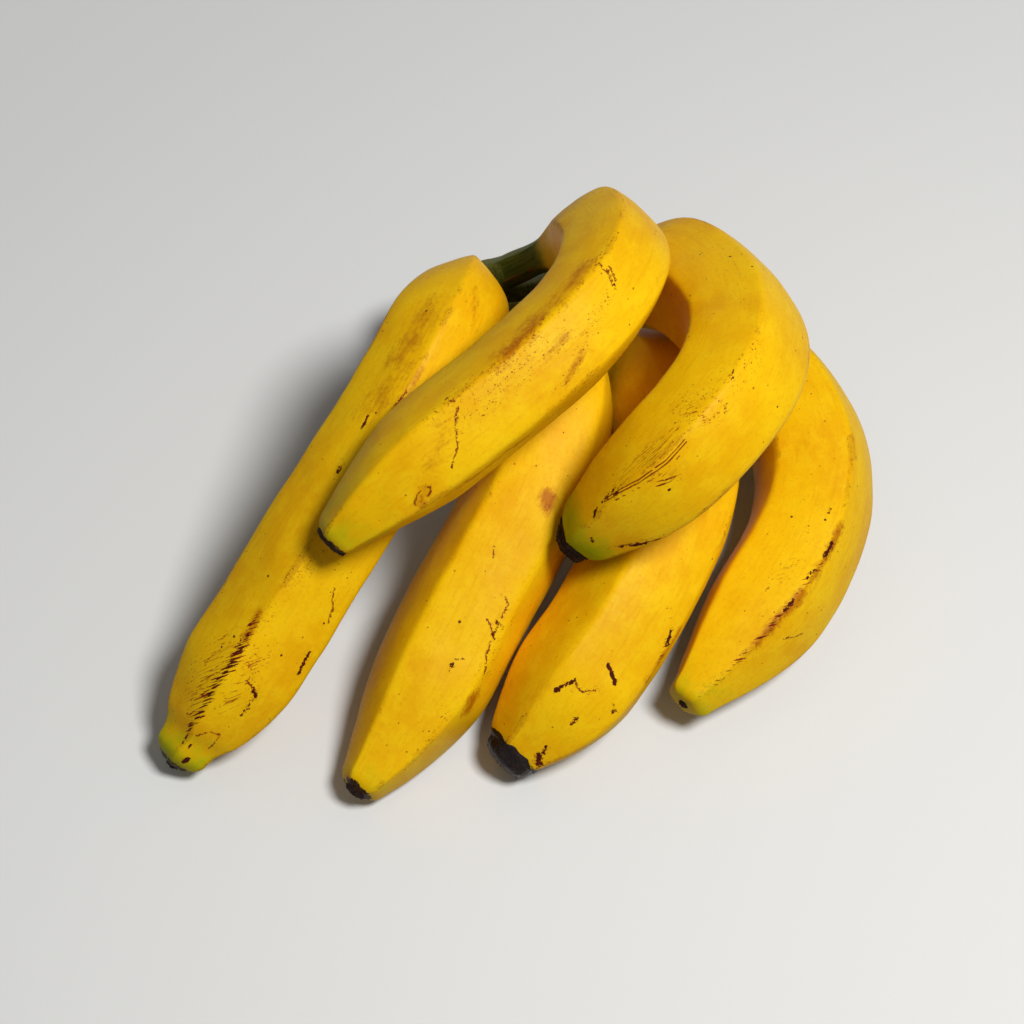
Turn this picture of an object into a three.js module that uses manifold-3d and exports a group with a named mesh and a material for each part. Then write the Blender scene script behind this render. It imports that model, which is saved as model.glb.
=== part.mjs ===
// A hand of six ripe bananas, lying on the ground with its fingers still joined to the crown.
//
// Millimetres, +Z up. The crown lies at the back with its cut face down and to the left. From
// it the stalks fan out round one axis, and the fingers arch forward: four in the lower row,
// whose far ends come down to the ground, and two in the upper row, which rest on the others.
// The finished group stands with the middle of its footprint at X = Y = 0 and its lowest
// point at Z = 0.

import * as THREE from 'three';
import { NURBSCurve } from 'three/addons/curves/NURBSCurve.js';
import { mergeVertices } from 'three/addons/utils/BufferGeometryUtils.js';
import Module from 'manifold-3d';

const wasm = await Module();
wasm.setup();

// ---- driving dimensions -------------------------------------------------------------------

const GAP = 0.3;                 // clearance between solids that meet

const STALK_RADIUS = 5.8;
const NECK_LENGTH = 44;          // over which the stalk swells to the full fruit
const BLOSSOM_LENGTH = 5;        // the withered flower remains at the far end
const BLOSSOM_DIMPLE = 1;        // how deep they sink in at the very end

const RIDGE_COUNT = 5;           // a banana has five soft edges along its length
const RIDGE_RISE = 0.03;         // how far an edge stands out, as a share of the radius
const BLOSSOM_RIDGE_RISE = 0.06;
const SIDES = 15;                // three sides for each ridge
const RING_SPACING = 7.2;        // between cross-sections along a finger
const SOCKET_SLACK = 0.05;       // added to the clearance round a stalk's flat-sided socket

const FAN_CENTRE = new THREE.Vector3(-25, 0, 13);   // axis the crown bends round, along Y
const SEAT_RADIUS = 21;          // where a stalk begins, measured from that axis
const CROWN_MIDDLE = 16;         // centre line of the crown's strip
const CROWN_HALF_HEIGHT = 12;    // its half thickness, away from the axis
const CROWN_FROM = -38;          // the strip's two ends, degrees round the axis
const CROWN_TO = 136;
const CROWN_CUT = 7;             // distance of the knife cut from the axis
const CROWN_CUT_ANGLE = 46;      // degrees, direction that the cut faces away from
const CROWN_CUT_LEAN = 0.12;     // the cut leans a little along the axis
const CROWN_ROW = 60;            // middle of the strip along the axis
const CROWN_HALF_WIDTH = 17;     // its half width along the axis
const COLLAR_LENGTH = 15;        // sleeve of crown tissue that climbs each stalk
const COLLAR_ROOT = 9;           // and how far it reaches back into the crown
const COLLAR_ROOT_RADIUS = 8.5;
const COLLAR_FOOT_RADIUS = 10.5;
const COLLAR_LIP_RADIUS = 6.7;

const PEEL = { color: 0xe2a80e, roughness: 0.48, metalness: 0 };
const CROWN_SKIN = { color: 0x5a5a20, roughness: 0.75, metalness: 0 };
const WITHERED = { color: 0x2a1b10, roughness: 0.85, metalness: 0 };

// Each finger leaves the crown at an angle round the fan axis (fan, degrees) and at a place
// along it (row), and its spine is drawn by six guide points. Stalk is the length of its bare
// stalk; girth and tip are radii; taper is the length over which the fruit narrows to its
// tip; roll turns the ridges, in degrees.
const FINGERS = [
  {
    name: 'lower_banana_1', fan: 96, row: 53,
    stalk: 26, girth: 18.4, taper: 42, tip: 6.8, roll: -6,
    guide: [
      [-13, 47, 68], [-15, 20, 81], [-33, -13, 68],
      [-62, -48, 42], [-86, -80, 16], [-104, -98, 5],
    ],
  },
  {
    name: 'lower_banana_2', fan: 57, row: 50,
    stalk: 34, girth: 19.3, taper: 52, tip: 6.2, roll: 2,
    guide: [
      [16, 45, 57], [18, 14, 60], [8, -23, 45],
      [-14, -54, 28], [-28, -84, 13], [-48, -109, 8],
    ],
  },
  {
    name: 'lower_banana_3', fan: 24, row: 55,
    stalk: 34, girth: 19.9, taper: 40, tip: 7.6, roll: 11,
    guide: [
      [36, 46, 36], [51, 18, 40], [54, -16, 38],
      [41, -47, 32], [21, -78, 19], [-4, -98, 6],
    ],
  },
  {
    name: 'lower_banana_4', fan: -11, row: 56,
    stalk: 34, girth: 19, taper: 51, tip: 6.2, roll: -18,
    guide: [
      [49, 63, 20], [79, 44, 25], [97, 13, 27],
      [97, -18, 22], [80, -49, 18], [51, -82, 14],
    ],
  },
  {
    name: 'upper_banana_1', fan: 66, row: 66,
    stalk: 36, girth: 16.6, taper: 48, tip: 6.5, roll: 21,
    guide: [
      [18, 60, 66], [32, 38, 94], [31, 7, 105],
      [5, -22, 98], [-30, -43, 85], [-54, -60, 68],
    ],
  },
  {
    name: 'upper_banana_2', fan: 32, row: 68,
    stalk: 36, girth: 18.7, taper: 53, tip: 7.4, roll: 33,
    guide: [
      [43, 65, 51], [66, 33, 74], [72, -5, 89],
      [59, -32, 90], [38, -46, 76], [16, -48, 50],
    ],
  },
];

// ---- spines -------------------------------------------------------------------------------

const radians = THREE.MathUtils.degToRad;

// A point at a distance from the fan axis, at an angle round it and a place along it.
function fanPoint(distance, degrees, along) {
  const angle = radians(degrees);
  const across = distance * Math.cos(angle);
  const above = distance * Math.sin(angle);
  return new THREE.Vector3(across, along, above).add(FAN_CENTRE);
}

// A smooth curve that starts and ends on its first and last control points.
function smoothCurve(points) {
  const degree = 3;
  const spans = points.length - degree;
  const inner = Array.from({ length: spans + 1 }, (_, i) => i / spans);
  const knots = [...Array(degree).fill(0), ...inner, ...Array(degree).fill(1)];
  const controls = points.map((p) => new THREE.Vector4(p.x, p.y, p.z, 1));
  const curve = new NURBSCurve(degree, knots, controls);
  curve.arcLengthDivisions = 400;
  return curve;
}

function fingerSpine(finger) {
  const guide = finger.guide.map((p) => new THREE.Vector3(...p));
  return smoothCurve([fanPoint(SEAT_RADIUS, finger.fan, finger.row), ...guide]);
}

// Stations along a curve, each with its place, its direction and two crosswise axes that are
// carried along it without twisting.
function stations(curve, distances) {
  const length = curve.getLength();
  const list = [];
  let side = new THREE.Vector3(0, 1, 0);
  for (const distance of distances) {
    const u = THREE.MathUtils.clamp(distance / length, 0, 1);
    const forward = curve.getTangentAt(u).normalize();
    side = side.clone().addScaledVector(forward, -side.dot(forward)).normalize();
    const up = new THREE.Vector3().crossVectors(forward, side);
    list.push({ distance, point: curve.getPointAt(u), forward, side, up });
  }
  return list;
}

function evenly(from, to, spacing) {
  const count = Math.max(1, Math.round((to - from) / spacing));
  return Array.from({ length: count + 1 }, (_, i) => from + ((to - from) * i) / count);
}

// ---- solids -------------------------------------------------------------------------------

function surface(coordinates, faces) {
  const geometry = new THREE.BufferGeometry();
  geometry.setAttribute('position', new THREE.Float32BufferAttribute(coordinates, 3));
  geometry.setIndex(faces);
  return geometry;
}

// A closed solid through rings of points, with a point at each end that its first and last
// ring close on.
function ringSolid(rings, firstPole, lastPole) {
  const sides = rings[0].length;
  const points = [...rings.flat(), firstPole, lastPole];
  const first = rings.length * sides;
  const last = first + 1;
  const faces = [];
  for (let r = 0; r + 1 < rings.length; r += 1) {
    for (let s = 0; s < sides; s += 1) {
      const a = r * sides + s;
      const b = r * sides + ((s + 1) % sides);
      faces.push(a, b, b + sides, a, b + sides, a + sides);
    }
  }
  for (let s = 0; s < sides; s += 1) {
    const next = (s + 1) % sides;
    faces.push(first, next, s);
    faces.push(last, first - sides + s, first - sides + next);
  }
  return surface(points.flatMap((p) => p.toArray()), faces);
}

// One ring round a station: the radius rises at each ridge and sinks between them.
function ridgedRing(station, radius, roll, rise = RIDGE_RISE) {
  return Array.from({ length: SIDES }, (_, s) => {
    const angle = (2 * Math.PI * s) / SIDES;
    const reach = radius * (1 + rise * Math.cos(RIDGE_COUNT * angle));
    const turned = angle + radians(roll);
    return station.point.clone()
      .addScaledVector(station.side, reach * Math.cos(turned))
      .addScaledVector(station.up, reach * Math.sin(turned));
  });
}

// The radius of a finger: thin along the stalk, swelling through the neck, full along the
// fruit, and narrowing to the tip.
function fingerRadius(finger, length, distance) {
  const swell = THREE.MathUtils.smoothstep(distance, finger.stalk, finger.stalk + NECK_LENGTH) ** 0.85;
  const full = STALK_RADIUS + (finger.girth - STALK_RADIUS) * swell;
  const left = THREE.MathUtils.clamp((length - distance) / finger.taper, 0, 1);
  const rounding = Math.sin((Math.PI / 2) * left) ** 1.15;
  const narrowing = finger.tip + (finger.girth - finger.tip) * rounding;
  return (full * narrowing) / finger.girth;
}

function fingerGeometry(finger) {
  const curve = fingerSpine(finger);
  const length = curve.getLength();
  const places = stations(curve, evenly(0, length - BLOSSOM_LENGTH - GAP, RING_SPACING));
  const rings = places.map((place) => {
    const radius = fingerRadius(finger, length, place.distance);
    return ridgedRing(place, radius, finger.roll);
  });
  return ringSolid(rings, places[0].point, places.at(-1).point);
}

// The withered flower remains: a short stub that narrows and ends in a shallow dimple.
function blossomGeometry(finger) {
  const curve = fingerSpine(finger);
  const from = curve.getLength() - BLOSSOM_LENGTH;
  const profile = [[0, 0.86], [0.35, 0.92], [0.75, 0.84], [1, 0.62]];
  const along = profile.map(([share]) => from + share * BLOSSOM_LENGTH);
  const ends = stations(curve, [...evenly(0, from, RING_SPACING), ...along]).slice(-profile.length);
  const rings = ends.map((place, i) => {
    const radius = finger.tip * profile[i][1];
    return ridgedRing(place, radius, finger.roll, BLOSSOM_RIDGE_RISE);
  });
  const { point, forward } = ends.at(-1);
  const dimple = point.clone().addScaledVector(forward, -BLOSSOM_DIMPLE);
  return ringSolid(rings, ends[0].point, dimple);
}

// ---- crown --------------------------------------------------------------------------------

function toManifold(geometry) {
  const bare = geometry.clone();
  bare.deleteAttribute('normal');
  bare.deleteAttribute('uv');
  const merged = mergeVertices(bare, 1e-4);
  const vertProperties = new Float32Array(merged.attributes.position.array);
  const triVerts = new Uint32Array(merged.index.array);
  return new wasm.Manifold(new wasm.Mesh({ numProp: 3, vertProperties, triVerts }));
}

function fromManifold(solid) {
  const mesh = solid.getMesh();
  return surface(mesh.vertProperties, Array.from(mesh.triVerts));
}

// One section of the crown's strip, square with round corners.
function stripRing(angle, halfHeight, halfWidth) {
  const sides = 16;
  const square = (value) => Math.sign(value) * Math.abs(value) ** 0.75;
  return Array.from({ length: sides }, (_, s) => {
    const turn = (2 * Math.PI * s) / sides;
    const distance = CROWN_MIDDLE + halfHeight * square(Math.cos(turn));
    return fanPoint(distance, angle, CROWN_ROW + halfWidth * square(Math.sin(turn)));
  });
}

// The crown's strip bends round the fan axis. It is widest in the middle, where it carries
// both rows, and rounds off at its ends.
function crownStrip() {
  const steps = 18;
  const rings = [];
  for (let i = 1; i < steps; i += 1) {
    const share = i / steps;
    const angle = THREE.MathUtils.lerp(CROWN_FROM, CROWN_TO, share);
    const round = Math.sin(Math.PI * share) ** 0.4;
    rings.push(stripRing(angle, CROWN_HALF_HEIGHT * round, CROWN_HALF_WIDTH * round));
  }
  const firstEnd = fanPoint(CROWN_MIDDLE, CROWN_FROM, CROWN_ROW);
  const lastEnd = fanPoint(CROWN_MIDDLE, CROWN_TO, CROWN_ROW);
  return ringSolid(rings, firstEnd, lastEnd);
}

// A sleeve of crown tissue round the foot of one stalk.
function collarGeometry(finger) {
  const places = stations(fingerSpine(finger), evenly(0, COLLAR_LENGTH, COLLAR_LENGTH / 4));
  const rings = places.map((place) => {
    const share = (place.distance / COLLAR_LENGTH) ** 0.6;
    const radius = THREE.MathUtils.lerp(COLLAR_FOOT_RADIUS, COLLAR_LIP_RADIUS, share);
    return ridgedRing(place, radius, finger.roll);
  });
  const rootPoint = places[0].point.clone().addScaledVector(places[0].forward, -COLLAR_ROOT);
  const root = { ...places[0], point: rootPoint };
  rings.unshift(ridgedRing(root, COLLAR_ROOT_RADIUS, finger.roll));
  return ringSolid(rings, rootPoint, places.at(-1).point);
}

// The room that one stalk takes in the crown, with the clearance round it.
function socketGeometry(finger) {
  const places = stations(fingerSpine(finger), evenly(0, finger.stalk, RING_SPACING));
  places[0].point.addScaledVector(places[0].forward, -GAP);
  const radius = STALK_RADIUS + GAP + SOCKET_SLACK;
  const rings = places.map((place) => ridgedRing(place, radius, finger.roll));
  return ringSolid(rings, places[0].point, places.at(-1).point);
}

// The block of air on the far side of the knife cut that parted the hand from its stem.
function cutAway() {
  const size = 120;              // more than the whole crown
  const block = new THREE.BoxGeometry(size, size, size);
  block.translate(-size / 2, 0, 0);
  block.rotateZ(CROWN_CUT_LEAN);
  block.rotateY(-radians(CROWN_CUT_ANGLE));
  const place = fanPoint(CROWN_CUT, CROWN_CUT_ANGLE, CROWN_ROW);
  block.translate(place.x, place.y, place.z);
  return block;
}

function crownGeometry() {
  let crown = toManifold(crownStrip());
  for (const finger of FINGERS) {
    crown = crown.add(toManifold(collarGeometry(finger)));
  }
  crown = crown.subtract(toManifold(cutAway()));
  for (const finger of FINGERS) {
    crown = crown.subtract(toManifold(socketGeometry(finger)));
  }
  return fromManifold(crown);
}

// ---- the hand -----------------------------------------------------------------------------

function piece(name, geometry, finish) {
  const mesh = new THREE.Mesh(geometry, new THREE.MeshStandardMaterial(finish));
  mesh.name = name;
  return mesh;
}

const hand = new THREE.Group();
hand.add(piece('crown', crownGeometry(), CROWN_SKIN));
for (const finger of FINGERS) {
  hand.add(piece(finger.name, fingerGeometry(finger), PEEL));
  hand.add(piece(`${finger.name}_blossom_end`, blossomGeometry(finger), WITHERED));
}

const extent = new THREE.Box3().setFromObject(hand);
const middle = extent.getCenter(new THREE.Vector3());
hand.position.set(-middle.x, -middle.y, -extent.min.z);

export default hand;
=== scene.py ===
# %% [markdown]
# # A hand of six bananas
# Six ripe bananas lie on the ground, still joined at the crown. A banana is a bent tube with five
# soft edges, a thin stalk at one end and the withered rest of its flower at the other. The measured
# solids are already there. This lesson grows a natural skin over each of them and paints it.

import math
from types import SimpleNamespace

import bmesh
import bpy
import numpy as np
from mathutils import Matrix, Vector


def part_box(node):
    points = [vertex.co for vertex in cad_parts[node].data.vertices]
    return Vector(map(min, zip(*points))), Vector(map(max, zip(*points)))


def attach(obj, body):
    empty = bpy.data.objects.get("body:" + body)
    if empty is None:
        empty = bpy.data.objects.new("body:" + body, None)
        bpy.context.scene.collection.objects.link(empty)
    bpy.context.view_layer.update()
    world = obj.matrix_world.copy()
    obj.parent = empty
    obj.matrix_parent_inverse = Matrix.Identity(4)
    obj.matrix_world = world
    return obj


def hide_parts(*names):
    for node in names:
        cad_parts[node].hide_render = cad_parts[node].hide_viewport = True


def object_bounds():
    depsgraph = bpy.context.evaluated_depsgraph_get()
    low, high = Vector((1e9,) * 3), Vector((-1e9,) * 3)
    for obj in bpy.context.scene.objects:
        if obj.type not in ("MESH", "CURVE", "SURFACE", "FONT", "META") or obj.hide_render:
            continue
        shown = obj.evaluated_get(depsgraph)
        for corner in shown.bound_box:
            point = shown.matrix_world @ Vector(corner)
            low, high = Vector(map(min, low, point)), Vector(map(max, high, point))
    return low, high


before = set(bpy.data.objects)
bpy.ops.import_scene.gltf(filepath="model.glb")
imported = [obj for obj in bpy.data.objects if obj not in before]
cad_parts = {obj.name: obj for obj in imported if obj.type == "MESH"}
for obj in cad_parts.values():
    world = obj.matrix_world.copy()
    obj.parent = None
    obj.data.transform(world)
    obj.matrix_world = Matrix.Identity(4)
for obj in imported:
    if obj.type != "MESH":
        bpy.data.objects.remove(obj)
solids_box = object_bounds()
print("solids:", len(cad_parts))

# %% [markdown]
# ## Writing nodes as sums
# A shader or a geometry tree is drawn here as Python expressions. A Wire is the value on one output
# of a node, and adding or comparing two of them adds the Math node that does it. Any other node
# comes from one method, which takes its type, its settings and the values of its sockets.


# %% A wire is a value on its way
class Wire:
    """The value on a node's output. A sum written with it becomes a Math node."""

    def __init__(self, plan, socket):
        self.plan, self.socket = plan, socket

    def __getitem__(self, name):
        outputs = [each for each in self.socket.node.outputs if each.enabled and each.name == name]
        return Wire(self.plan, outputs[0])

    def maths(self, operation, *terms):
        return self.plan.add("ShaderNodeMath", {"operation": operation}, dict(enumerate(terms)))

    def __add__(self, other):
        return self.maths("ADD", self, other)

    def __sub__(self, other):
        return self.maths("SUBTRACT", self, other)

    def __rsub__(self, other):
        return self.maths("SUBTRACT", other, self)

    def __mul__(self, other):
        return self.maths("MULTIPLY", self, other)

    def __truediv__(self, other):
        return self.maths("DIVIDE", self, other)

    def __rtruediv__(self, other):
        return self.maths("DIVIDE", other, self)

    def __pow__(self, other):
        return self.maths("POWER", self, other)

    def __abs__(self):
        return self.maths("ABSOLUTE", self)

    __radd__ = __add__
    __rmul__ = __mul__

    def rising(self, low, high):
        """0 below low, 1 above high, and a soft step between them."""
        return self.plan.add(
            "ShaderNodeMapRange",
            {"interpolation_type": "SMOOTHSTEP"},
            {"Value": self, "From Min": low, "From Max": high},
        )

    def scaled(self, factor):
        """A vector made longer or shorter."""
        settings = {"operation": "SCALE"}
        return self.plan.add("ShaderNodeVectorMath", settings, {0: self, "Scale": factor})

    def moved(self, by):
        """A vector with another one added."""
        return self.plan.add("ShaderNodeVectorMath", {"operation": "ADD"}, {0: self, 1: by})

    def stretched(self, by):
        """A vector multiplied by another one, axis by axis."""
        return self.plan.add("ShaderNodeVectorMath", {"operation": "MULTIPLY"}, {0: self, 1: by})

    def mixes(self, without, full):
        """One colour where this value is 0 and another where it is 1."""
        settings = {"data_type": "RGBA", "clamp_factor": True}
        return self.plan.add("ShaderNodeMix", settings, {"Factor": self, "A": without, "B": full})


# %% [markdown]
# ## A plan collects the nodes
# A Plan holds the tree that is being drawn and has the one method that adds a node. Settings come
# first, because they decide which sockets a node shows. Colours are written as on a paint chart and
# turned into the linear light that shaders work in.


# %% Plans and colours
class Plan:
    """A node tree while it is being drawn."""

    def __init__(self, tree):
        self.tree = tree
        tree.nodes.clear()

    def add(self, kind, settings=None, values=None):
        node = self.tree.nodes.new(kind)
        for name, value in (settings or {}).items():
            setattr(node, name, value)
        for key, value in (values or {}).items():
            if isinstance(key, int):
                socket = node.inputs[key]
            else:
                socket = [each for each in node.inputs if each.enabled and each.name == key][0]
            if isinstance(value, Wire):
                self.tree.links.new(value.socket, socket)
            else:
                socket.default_value = value
        outputs = [each for each in node.outputs if each.enabled]
        return Wire(self, outputs[0]) if outputs else node


def rgb(red, green, blue):
    """A colour from the 0 to 255 values of a paint chart, as the linear light that shaders use."""
    linear = []
    for share in (red / 255, green / 255, blue / 255):
        linear.append(share / 12.92 if share <= 0.04045 else ((share + 0.055) / 1.055) ** 2.4)
    return (*linear, 1.0)


# %% [markdown]
# ## Reading the spines
# Each measured banana is a stack of rings with a point at each end. Walking over its mesh from one
# end point, ring by ring, gives back the spine, the thickness and the line of its edges. All sizes
# of the skins come from there, so the skin fits the solid.

# %% Rings of a solid
RING_POINTS = 15
RIDGES = 5


def solid_rings(name, start):
    """The rings of a ringed solid in order, beginning at its end point nearest to start."""
    mesh = bmesh.new()
    mesh.from_mesh(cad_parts[name].data)
    bmesh.ops.remove_doubles(mesh, verts=mesh.verts, dist=1e-5)
    mesh.verts.index_update()
    poles = [point for point in mesh.verts if len(point.link_edges) == RING_POINTS]
    layer = [min(poles, key=lambda point: (point.co - start).length)]
    seen = set(layer)
    rings = []
    while True:
        around = {edge.other_vert(point) for point in layer for edge in point.link_edges} - seen
        if len(around) != RING_POINTS:
            break
        layer = sorted(around, key=lambda point: point.index)
        seen |= around
        rings.append([list(point.co) for point in layer])
    mesh.free()
    return np.array(rings)


# %% [markdown]
# ## Smooth curves through the rings
# The rings are a few millimetres apart, and the skin needs points in between. Straight lines would
# leave kinks on the peel, so the rows are joined by a natural cubic spline, the curve that a thin
# strip of wood takes when it is held at those points.


# %% Curves through rows
def smooth_rows(rows, at):
    """Rows between the given rows, at fractional row numbers, along a curve without kinks."""
    count = len(rows)
    system = 4 * np.eye(count) + np.eye(count, k=1) + np.eye(count, k=-1)
    system[0] = system[-1] = 0
    system[0, 0] = system[-1, -1] = 1
    bend = np.zeros_like(rows)
    bend[1:-1] = 6 * (rows[2:] - 2 * rows[1:-1] + rows[:-2])
    bend = np.linalg.solve(system, bend)
    low = np.clip(at.astype(int), 0, count - 2)
    part = (at - low)[:, None]
    rest = 1 - part
    curved = (rest**3 - rest) * bend[low] + (part**3 - part) * bend[low + 1]
    return rest * rows[low] + part * rows[low + 1] + curved / 6


def unit(rows):
    return rows / np.linalg.norm(rows, axis=-1, keepdims=True)


# %% [markdown]
# ## One spine for each banana
# A spine holds the middle line, its direction, its thickness, and which way the edges point. It
# follows one edge from the stalk to the tip, so the ridges never jump from one ring to the next.


# %% Spines
class Spine:
    """The middle line of one banana, with the directions of its top and of its edges."""

    def __init__(self, name):
        low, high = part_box("crown")
        rings = solid_rings(name, (low + high) / 2)
        tip = Vector(rings[-1].mean(0))
        withered = solid_rings(f"{name}_blossom_end", tip)
        self.peel_rings = len(rings)
        self.rings = np.concatenate([rings, withered[-1:]])
        self.centres = self.rings.mean(1)
        self.forward = unit(np.gradient(self.centres, axis=0))
        steps = np.linalg.norm(np.diff(self.centres, axis=0), axis=1)
        self.along = np.concatenate([[0], np.cumsum(steps)])
        reach = np.linalg.norm(self.rings - self.centres[:, None], axis=2)
        self.girth = reach.mean(1)
        self.girth[-1] = self.girth[-2]
        self.turn_to_top(reach)

    def turn_to_top(self, reach):
        """Follow one edge along the banana, then measure round from its topmost line."""
        edge = self.rings[0, reach[0].argmax()] - self.centres[0]
        side = []
        for ring, centre, far in zip(self.rings, self.centres, reach):
            ridges = ring[np.argsort(far)[-RIDGES:]] - centre
            edge = ridges[np.argmax(unit(ridges) @ unit(edge))]
            side.append(edge)
        side = np.array(side)
        side -= (side * self.forward).sum(1, keepdims=True) * self.forward
        side = unit(side)
        up = np.cross(self.forward, side)
        middle = self.peel_rings // 2
        top = math.atan2(up[middle, 2], side[middle, 2])
        self.side = math.cos(top) * side + math.sin(top) * up
        self.up = math.cos(top) * up - math.sin(top) * side
        self.ridge_turn = -top

    def peel_end(self):
        return self.along[self.peel_rings - 1]

    def stations(self, start, end, spacing):
        """Points along the spine as a dictionary of named rows."""
        distance = np.linspace(start, end, max(3, round((end - start) / spacing)))
        at = np.interp(distance, self.along, np.arange(len(self.along)))
        forward = unit(smooth_rows(self.forward, at))
        side = smooth_rows(self.side, at)
        side = unit(side - (side * forward).sum(1, keepdims=True) * forward)
        return {
            "centre": smooth_rows(self.centres, at),
            "forward": forward,
            "side": side,
            "across": np.cross(forward, side),
            "girth": smooth_rows(self.girth[:, None], at)[:, 0],
            "along": distance,
        }


FINGERS = [f"lower_banana_{n}" for n in (1, 2, 3, 4)] + [f"upper_banana_{n}" for n in (1, 2)]
spines = {name: Spine(name) for name in FINGERS}
for name, spine in spines.items():
    length, girth = 1000 * spine.peel_end(), 2000 * spine.girth.max()
    print(f"{name}: {length:.0f} mm of peel, {girth:.0f} mm thick")

# %% [markdown]
# ## A skin that is swept along a spine
# The peel has a rule: five flat sides with soft edges between them, carried along a bent line and
# swelling and shrinking with it. A Geometry Nodes tree says that rule once. It starts from a plain
# cylinder of height 2, reads how far up and how far round each point is, looks up the spine there,
# and puts the point on the banana. It also keeps the place on the peel, so that colours can follow
# the fruit. The withered ends use the same tree with rougher numbers. Every tree here is opened and
# closed by the same two helpers.


# %% How every tree starts and ends
def new_tree(name, inputs):
    """An empty geometry tree with its named inputs, each given as (name, kind of socket)."""
    tree = bpy.data.node_groups.new(name, "GeometryNodeTree")
    tree.is_modifier = True
    tree.interface.new_socket("Geometry", in_out="INPUT", socket_type="NodeSocketGeometry")
    for title, kind in inputs:
        tree.interface.new_socket(title, in_out="INPUT", socket_type=f"NodeSocket{kind}")
    tree.interface.new_socket("Geometry", in_out="OUTPUT", socket_type="NodeSocketGeometry")
    return tree


def finish_tree(plan, skin, material):
    """Every tree ends the same way: real faces, smooth, with their material."""
    smooth = plan.add("GeometryNodeSetShadeSmooth", {}, {"Geometry": skin})
    real = plan.add("GeometryNodeRealizeInstances", {}, {"Geometry": smooth})
    painted = plan.add("GeometryNodeSetMaterial", {}, {"Geometry": real, "Material": material})
    plan.add("NodeGroupOutput", {}, {"Geometry": painted})


# %% [markdown]
# ## The section of a banana
# Cut across, a banana is a pentagon with bowed sides. Each side is an arc of a circle that is bigger
# than the banana. Two neighbouring sides blend at the edge between them through a high power, and
# the higher it is, the crisper the edge. A thin stalk is rounder than the full fruit, so the bow
# changes with the thickness.

# %% Five bowed sides
EDGE_HARDNESS = 45


def five_sided(plan, given, turn, girth):
    """How far the skin reaches from the spine at an angle."""
    half = math.pi / RIDGES
    wrap = {0: turn - given["Ridge Turn"], 1: half, 2: -half}
    from_edge = abs(plan.add("ShaderNodeMath", {"operation": "WRAP"}, wrap))
    fullness = girth / given["Full Girth"]
    bow = given["Bow Narrow"] + (given["Bow Wide"] - given["Bow Narrow"]) * fullness
    set_back = (bow * bow - math.sin(half) ** 2) ** 0.5 - math.cos(half)

    def side_reach(angle):
        off_middle = set_back * angle.maths("SINE", angle)
        return (bow * bow - off_middle * off_middle) ** 0.5 - set_back * angle.maths("COSINE", angle)

    own, neighbour = side_reach(half - from_edge), side_reach(half + from_edge)
    section = (own ** -EDGE_HARDNESS + neighbour ** -EDGE_HARDNESS) ** (-1 / EDGE_HARDNESS)
    section = section * 2 ** (1 / EDGE_HARDNESS)
    return girth * given["Ridge Reach"] * section


# %% [markdown]
# ## Dents and lumps
# No two bananas are as regular as their rule. Wide shallow dents come from slow noise and fine lumps
# from quick noise. Both are read on the place on the peel, shifted by the banana's own number, and
# the dents go inwards only, so that the skin doesn't outgrow its solid.

# %% Uneven skin
DENTS_INWARD = 0.7
LUMPS_EVEN = 0.5


def shifted_place(plan, given, turn, inward, girth, along):
    """The place on the peel, as a point on an unbent banana, somewhere else for every seed."""
    cosine, sine = turn.maths("COSINE", turn), turn.maths("SINE", turn)
    parts = {"X": girth * inward * cosine, "Y": girth * inward * sine, "Z": along}
    on_peel = plan.add("ShaderNodeCombineXYZ", {}, parts)
    far = {"X": given["Seed"] * 0.1, "Y": given["Seed"] * 0.07}
    return on_peel.moved(plan.add("ShaderNodeCombineXYZ", {}, far))


def uneven(plan, place, depth, width, detail, middle):
    """Noise of a given depth and width. Where it passes the middle value, it stands out."""
    values = {"Vector": place.scaled(1 / width), "Scale": 1.0, "Detail": detail}
    return (plan.add("ShaderNodeTexNoise", {}, values) - middle) * depth


# %% [markdown]
# ## Putting the sweep together
# The blank is a cylinder. Its height says how far along the spine a point belongs, and the tree
# samples the spine's rows there. Its two ends close in shallow domes.

# %% The sweeping tree
SWEEP_INPUTS = [
    ("Sides", "Int"),
    ("Cap Rings", "Int"),
    ("Cap Depth", "Float"),
    ("Ridge Turn", "Float"),
    ("Ridge Reach", "Float"),
    ("Bow Wide", "Float"),
    ("Bow Narrow", "Float"),
    ("Full Girth", "Float"),
    ("Dent Depth", "Float"),
    ("Dent Size", "Float"),
    ("Lump Depth", "Float"),
    ("Lump Size", "Float"),
    ("Seed", "Float"),
    ("Material", "Material"),
]


def sweep_blank(plan, given, last):
    """A cylinder of height 2 with a ring for every point of the spine."""
    sizes = {"Vertices": given["Sides"], "Side Segments": last, "Fill Segments": given["Cap Rings"]}
    sizes.update({"Radius": 1.0, "Depth": 2.0})
    return plan.add("GeometryNodeMeshCylinder", {"fill_type": "TRIANGLE_FAN"}, sizes)


def looked_up(plan, spine, station, name, kind="FLOAT_VECTOR"):
    """What a row of the spine says at a station."""
    named = plan.add("GeometryNodeInputNamedAttribute", {"data_type": kind}, {"Name": name})
    settings = {"data_type": kind, "domain": "POINT"}
    values = {"Geometry": spine, "Value": named, "Index": station}
    return plan.add("GeometryNodeSampleIndex", settings, values)


def keep_rows(plan, skin, rows):
    """Write values on the skin's points, for the marks and the material."""
    for name, kind, value in rows:
        settings = {"data_type": kind, "domain": "POINT"}
        values = {"Geometry": skin, "Name": name, "Value": value}
        skin = plan.add("GeometryNodeStoreNamedAttribute", settings, values)
    return skin


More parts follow.
